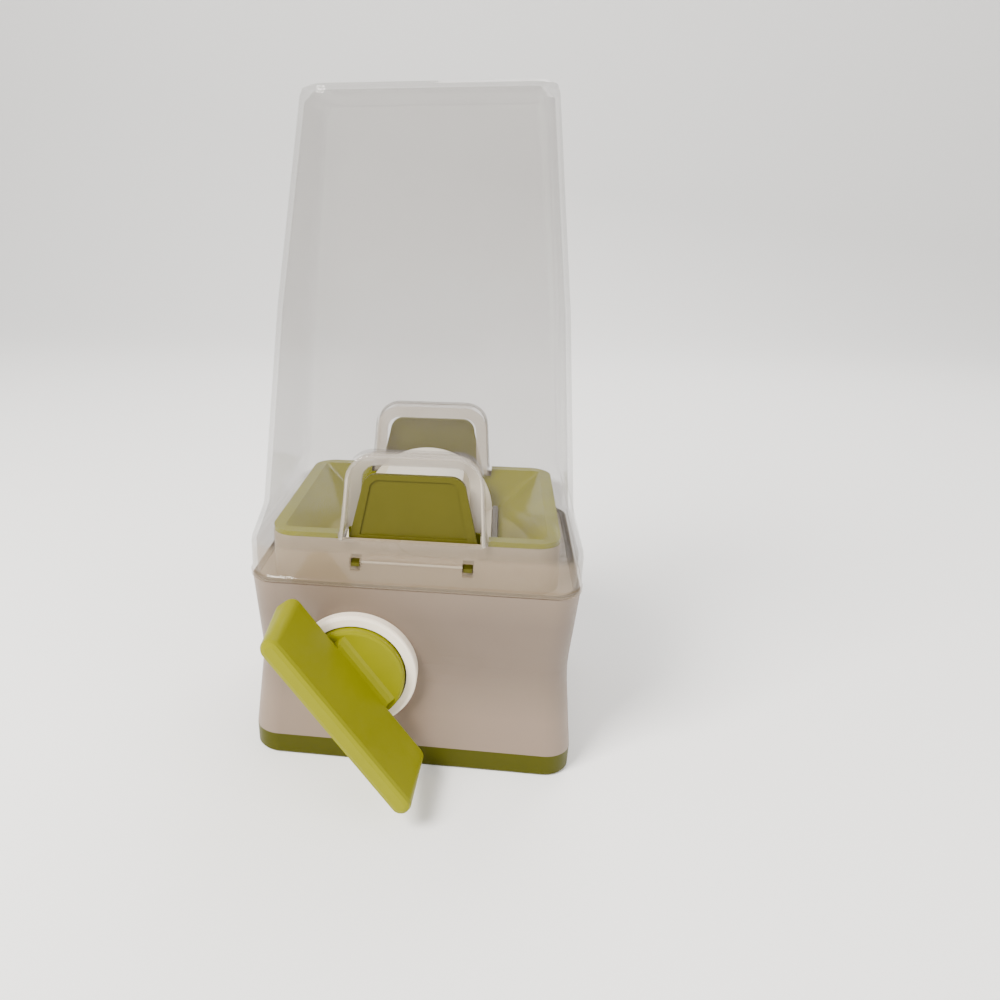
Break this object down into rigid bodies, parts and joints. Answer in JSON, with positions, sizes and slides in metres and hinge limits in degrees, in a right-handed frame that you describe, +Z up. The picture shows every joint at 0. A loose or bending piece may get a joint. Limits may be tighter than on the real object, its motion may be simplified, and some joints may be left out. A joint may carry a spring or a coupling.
{
  "type": "cereal dispenser",
  "caption": "Gravity-fed dry food dispenser with a clear tapered hopper, press-tab latches, geared metering drum and a bar-grip knob on a waisted base.",
  "frame": {"origin": "middle of the flat underside of the foot, on the surface it stands on", "axes": "+Z up through the hopper, -Y towards the user (knob side), +X to the user's right"},
  "size_m": [0.1522, 0.1734, 0.2976],
  "materials": {
    "foot_lime": "satin moulded lime plastic, slightly darker than the knob",
    "base_white": "warm white moulded plastic, satin",
    "collar_white": "bright white moulded plastic",
    "inner_white": "white moulded plastic",
    "drum_white": "white moulded plastic",
    "hopper_clear": "clear smoke-tinted moulded plastic",
    "tray_lime": "glossy olive-lime plastic",
    "tab_lime": "satin lime plastic",
    "knob_lime": "satin lime plastic",
    "seal_grey": "soft grey elastomer",
    "screw_steel": "zinc-plated steel",
    "shaft_steel": "ground steel",
    "spring_steel": "spring steel",
    "bush_grey": "self-lubricating plastic",
    "gear_natural": "natural acetal plastic"
  },
  "bodies": {
    "base": {"foot": "foot_lime", "base_housing": "base_white", "base_screws": "screw_steel", "inner_collar": "collar_white", "hopper": "hopper_clear", "hopper_gasket": "seal_grey", "funnel_tray": "tray_lime", "drum_cradle": "inner_white", "cradle_screws": "screw_steel", "gear_cover": "inner_white", "gear_cover_screws": "screw_steel", "drum_front_bush": "bush_grey", "drum_rear_bush": "bush_grey", "knob_bush": "bush_grey", "knob_collar": "collar_white", "front_latch_pin": "shaft_steel", "rear_latch_pin": "shaft_steel", "front_latch_spring": "spring_steel", "rear_latch_spring": "spring_steel", "outlet_chute": "inner_white", "wiper_seals": "seal_grey"},
    "knob_set": {"knob": "knob_lime", "knob_shaft": "shaft_steel", "knob_gear": "gear_natural", "knob_clip": "spring_steel"},
    "drum_set": {"metering_drum": "drum_white", "drum_shaft": "shaft_steel", "drum_gear": "gear_natural"},
    "front_latch": {"front_latch_tab": "tab_lime"},
    "rear_latch": {"rear_latch_tab": "tab_lime"}
  },
  "joints": [
    {"name": "knob_turn", "type": "hinge", "parent": "base", "child": "knob_set", "pos_m": [-0.0245, -0.038, 0.04997], "axis": [0, 1, 0], "continuous": true},
    {"name": "drum_spin", "type": "hinge", "parent": "base", "child": "drum_set", "pos_m": [0, 0, 0.0964], "axis": [0, 1, 0], "continuous": true},
    {"name": "front_latch_press", "type": "hinge", "parent": "base", "child": "front_latch", "pos_m": [0, -0.04955, 0.08], "axis": [-1, 0, 0], "range_deg": [0, 4], "stiffness_Nm_per_rad": 0.6, "springref_deg": -5.73},
    {"name": "rear_latch_press", "type": "hinge", "parent": "base", "child": "rear_latch", "pos_m": [0, 0.04955, 0.08], "axis": [1, 0, 0], "range_deg": [0, 4], "stiffness_Nm_per_rad": 0.6, "springref_deg": -5.73}
  ],
  "couplings": [
    {"joint": "drum_spin", "follows": "knob_turn", "ratio": -0.90909}
  ]
}
